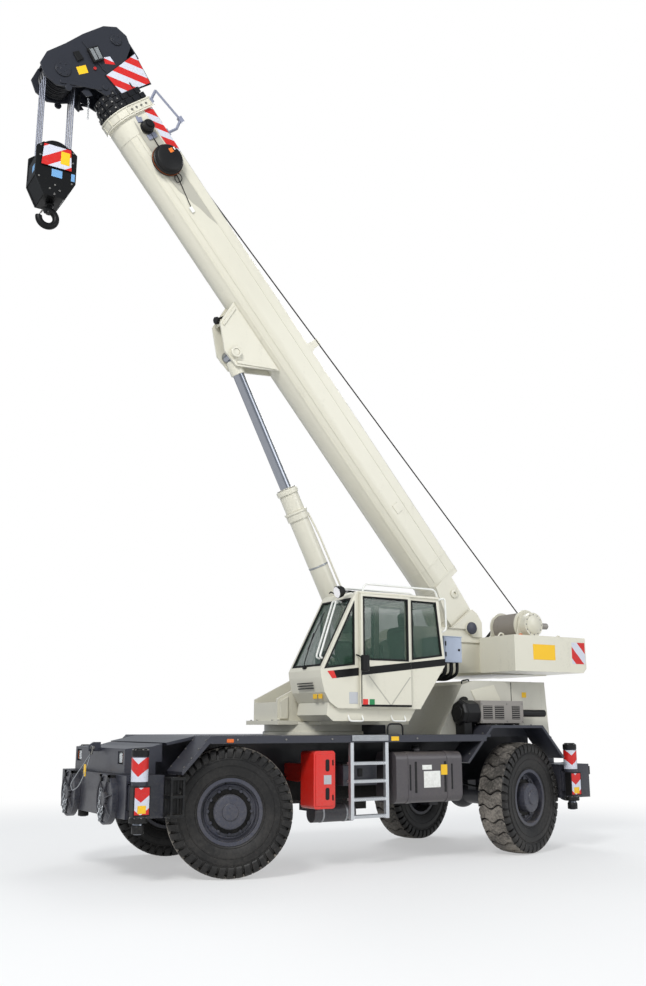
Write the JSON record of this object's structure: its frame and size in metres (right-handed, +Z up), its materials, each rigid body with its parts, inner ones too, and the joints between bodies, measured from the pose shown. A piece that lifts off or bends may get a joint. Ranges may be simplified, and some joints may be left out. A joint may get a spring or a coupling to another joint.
{
  "type": "rough terrain crane",
  "caption": "Self-propelled four-wheel crane with a slewing superstructure, a telescopic boom, sliding outriggers and a hook block hung from the boom head.",
  "frame": {"origin": "on the ground below the middle of the whole machine", "axes": "+X forward, +Y to the machine's left, +Z up"},
  "size_m": [7.8604, 2.9476, 10.4086],
  "materials": {
    "carrier_paint": "satin",
    "cream_paint": "gloss",
    "section_paint": "satin",
    "cab_glass": "clear",
    "tyre_rubber": "matte",
    "rim_paint": "satin",
    "bare_steel": "satin",
    "chromed_steel": "polished",
    "beam_paint": "satin",
    "red_paint": "gloss",
    "black_plastic": "matte",
    "block_paint": "satin",
    "valve_box_paint": "satin",
    "lamp_lens": "gloss"
  },
  "bodies": {
    "chassis": {"chassis_frame": "carrier_paint", "deck": "carrier_paint", "front_axle": "carrier_paint", "rear_axle": "carrier_paint", "gearbox_and_shafts": "carrier_paint", "engine_block": "bare_steel", "engine_hood": "cream_paint", "silencer": "bare_steel", "air_cleaner": "black_plastic", "fuel_tank": "carrier_paint", "ladder": "bare_steel", "tool_chest": "red_paint", "battery_and_air_tank": "carrier_paint", "outrigger_housings": "carrier_paint", "slewing_ring": "bare_steel", "road_lamps": "lamp_lens", "stowed_floats": "carrier_paint"},
    "turntable": {"turntable_frame": "cream_paint", "counterweight": "cream_paint", "winch_frame": "cream_paint", "hydraulic_box": "valve_box_paint", "cab_shell": "cream_paint", "cab_glass": "cab_glass", "operator_seat": "black_plastic", "controls": "black_plastic"},
    "hoist_drum": {"hoist_drum": "cream_paint"},
    "cab_door": {"cab_door": "cream_paint", "door_glass": "cab_glass"},
    "boom_base": {"boom_base": "cream_paint", "cable_reel": "black_plastic"},
    "boom_section_2": {"boom_section_2": "section_paint"},
    "boom_section_3": {"boom_section_3": "section_paint"},
    "boom_section_4": {"boom_section_4": "section_paint", "head_sheaves": "section_paint"},
    "lift_barrel": {"lift_barrel": "cream_paint"},
    "lift_rod": {"lift_rod": "chromed_steel"},
    "hook_block": {"hook_block": "block_paint", "rope_falls": "bare_steel"},
    "hook": {"hook": "block_paint"},
    "knuckle_front_left": {"knuckle_front_left": "bare_steel"},
    "wheel_front_left": {"rim_front_left": "rim_paint", "tyre_front_left": "tyre_rubber"},
    "outrigger_front_left": {"outrigger_beam_front_left": "beam_paint"},
    "jack_front_left": {"jack_rod_front_left": "chromed_steel"},
    "knuckle_front_right": {"knuckle_front_right": "bare_steel"},
    "wheel_front_right": {"rim_front_right": "rim_paint", "tyre_front_right": "tyre_rubber"},
    "outrigger_front_right": {"outrigger_beam_front_right": "beam_paint"},
    "jack_front_right": {"jack_rod_front_right": "chromed_steel"},
    "knuckle_rear_left": {"knuckle_rear_left": "bare_steel"},
    "wheel_rear_left": {"rim_rear_left": "rim_paint", "tyre_rear_left": "tyre_rubber"},
    "outrigger_rear_left": {"outrigger_beam_rear_left": "beam_paint"},
    "jack_rear_left": {"jack_rod_rear_left": "chromed_steel"},
    "knuckle_rear_right": {"knuckle_rear_right": "bare_steel"},
    "wheel_rear_right": {"rim_rear_right": "rim_paint", "tyre_rear_right": "tyre_rubber"},
    "outrigger_rear_right": {"outrigger_beam_rear_right": "beam_paint"},
    "jack_rear_right": {"jack_rod_rear_right": "chromed_steel"}
  },
  "joints": [
    {"name": "slew", "type": "hinge", "parent": "chassis", "child": "turntable", "pos_m": [-0.12022, 0, 1.59], "axis": [0, 0, 1], "continuous": true},
    {"name": "luff", "type": "hinge", "parent": "turntable", "child": "boom_base", "pos_m": [-2.47022, 0, 2.9], "axis": [0, -1, 0], "range_deg": [-49.7, 25.3]},
    {"name": "telescope_2", "type": "slide", "parent": "boom_base", "child": "boom_section_2", "axis": [0.6468, 0, 0.7627], "range_m": [0, 6.7]},
    {"name": "telescope_3", "type": "slide", "parent": "boom_section_2", "child": "boom_section_3", "axis": [0.6468, 0, 0.7627], "range_m": [0, 6.7]},
    {"name": "telescope_4", "type": "slide", "parent": "boom_section_3", "child": "boom_section_4", "axis": [0.6468, 0, 0.7627], "range_m": [0, 6.7]},
    {"name": "lift_barrel_swing", "type": "hinge", "parent": "turntable", "child": "lift_barrel", "pos_m": [-1.14522, 0, 1.75], "axis": [0, -1, 0], "range_deg": [-49.13, 25.03]},
    {"name": "lift_rod_slide", "type": "slide", "parent": "lift_barrel", "child": "lift_rod", "axis": [0.4498, 0, 0.8931], "range_m": [-1.4062, 0.7163]},
    {"name": "block_hang", "type": "hinge", "parent": "boom_section_4", "child": "hook_block", "pos_m": [3.64601, 0, 9.53996], "axis": [0, -1, 0], "range_deg": [-25.35, 49.75]},
    {"name": "hook_swivel", "type": "hinge", "parent": "hook_block", "child": "hook", "pos_m": [3.64601, 0, 7.83996], "axis": [0, 0, 1], "continuous": true},
    {"name": "drum_spin", "type": "hinge", "parent": "turntable", "child": "hoist_drum", "pos_m": [-3.57022, 0, 3], "axis": [0, 1, 0], "continuous": true},
    {"name": "door_slide", "type": "slide", "parent": "turntable", "child": "cab_door", "axis": [-1, 0, 0], "range_m": [0, 0.56]},
    {"name": "steer_front_left", "type": "hinge", "parent": "chassis", "child": "knuckle_front_left", "pos_m": [1.46978, 0.8475, 0.684], "axis": [0, 0, 1], "range_deg": [-7, 53]},
    {"name": "roll_front_left", "type": "hinge", "parent": "knuckle_front_left", "child": "wheel_front_left", "pos_m": [1.46978, 0.8475, 0.684], "axis": [0.3907, 0.9205, 0], "continuous": true},
    {"name": "steer_front_right", "type": "hinge", "parent": "chassis", "child": "knuckle_front_right", "pos_m": [1.46978, -0.8475, 0.684], "axis": [0, 0, 1], "range_deg": [-7, 53]},
    {"name": "roll_front_right", "type": "hinge", "parent": "knuckle_front_right", "child": "wheel_front_right", "pos_m": [1.46978, -0.8475, 0.684], "axis": [0.3907, 0.9205, 0], "continuous": true},
    {"name": "steer_rear_left", "type": "hinge", "parent": "chassis", "child": "knuckle_rear_left", "pos_m": [-2.51022, 0.8475, 0.684], "axis": [0, 0, 1], "range_deg": [-46, 14]},
    {"name": "roll_rear_left", "type": "hinge", "parent": "knuckle_rear_left", "child": "wheel_rear_left", "pos_m": [-2.51022, 0.8475, 0.684], "axis": [-0.2756, 0.9613, 0], "continuous": true},
    {"name": "steer_rear_right", "type": "hinge", "parent": "chassis", "child": "knuckle_rear_right", "pos_m": [-2.51022, -0.8475, 0.684], "axis": [0, 0, 1], "range_deg": [-46, 14]},
    {"name": "roll_rear_right", "type": "hinge", "parent": "knuckle_rear_right", "child": "wheel_rear_right", "pos_m": [-2.51022, -0.8475, 0.684], "axis": [-0.2756, 0.9613, 0], "continuous": true},
    {"name": "outrigger_front_left_slide", "type": "slide", "parent": "chassis", "child": "outrigger_front_left", "axis": [0, 1, 0], "range_m": [0, 1.85]},
    {"name": "jack_front_left_slide", "type": "slide", "parent": "outrigger_front_left", "child": "jack_front_left", "axis": [0, 0, -1], "range_m": [0, 0.55]},
    {"name": "outrigger_front_right_slide", "type": "slide", "parent": "chassis", "child": "outrigger_front_right", "axis": [0, -1, 0], "range_m": [0, 1.85]},
    {"name": "jack_front_right_slide", "type": "slide", "parent": "outrigger_front_right", "child": "jack_front_right", "axis": [0, 0, -1], "range_m": [0, 0.55]},
    {"name": "outrigger_rear_left_slide", "type": "slide", "parent": "chassis", "child": "outrigger_rear_left", "axis": [0, 1, 0], "range_m": [0, 1.85]},
    {"name": "jack_rear_left_slide", "type": "slide", "parent": "outrigger_rear_left", "child": "jack_rear_left", "axis": [0, 0, -1], "range_m": [0, 0.55]},
    {"name": "outrigger_rear_right_slide", "type": "slide", "parent": "chassis", "child": "outrigger_rear_right", "axis": [0, -1, 0], "range_m": [0, 1.85]},
    {"name": "jack_rear_right_slide", "type": "slide", "parent": "outrigger_rear_right", "child": "jack_rear_right", "axis": [0, 0, -1], "range_m": [0, 0.55]}
  ],
  "couplings": [
    {"joint": "telescope_3", "follows": "telescope_2", "ratio": 1},
    {"joint": "telescope_4", "follows": "telescope_2", "ratio": 1},
    {"joint": "lift_barrel_swing", "follows": "luff", "ratio": 0.9875},
    {"joint": "lift_rod_slide", "follows": "luff", "m_per_rad": 1.62},
    {"joint": "block_hang", "follows": "luff", "ratio": -1},
    {"joint": "steer_front_right", "follows": "steer_front_left", "ratio": 1},
    {"joint": "steer_rear_right", "follows": "steer_rear_left", "ratio": 1}
  ]
}
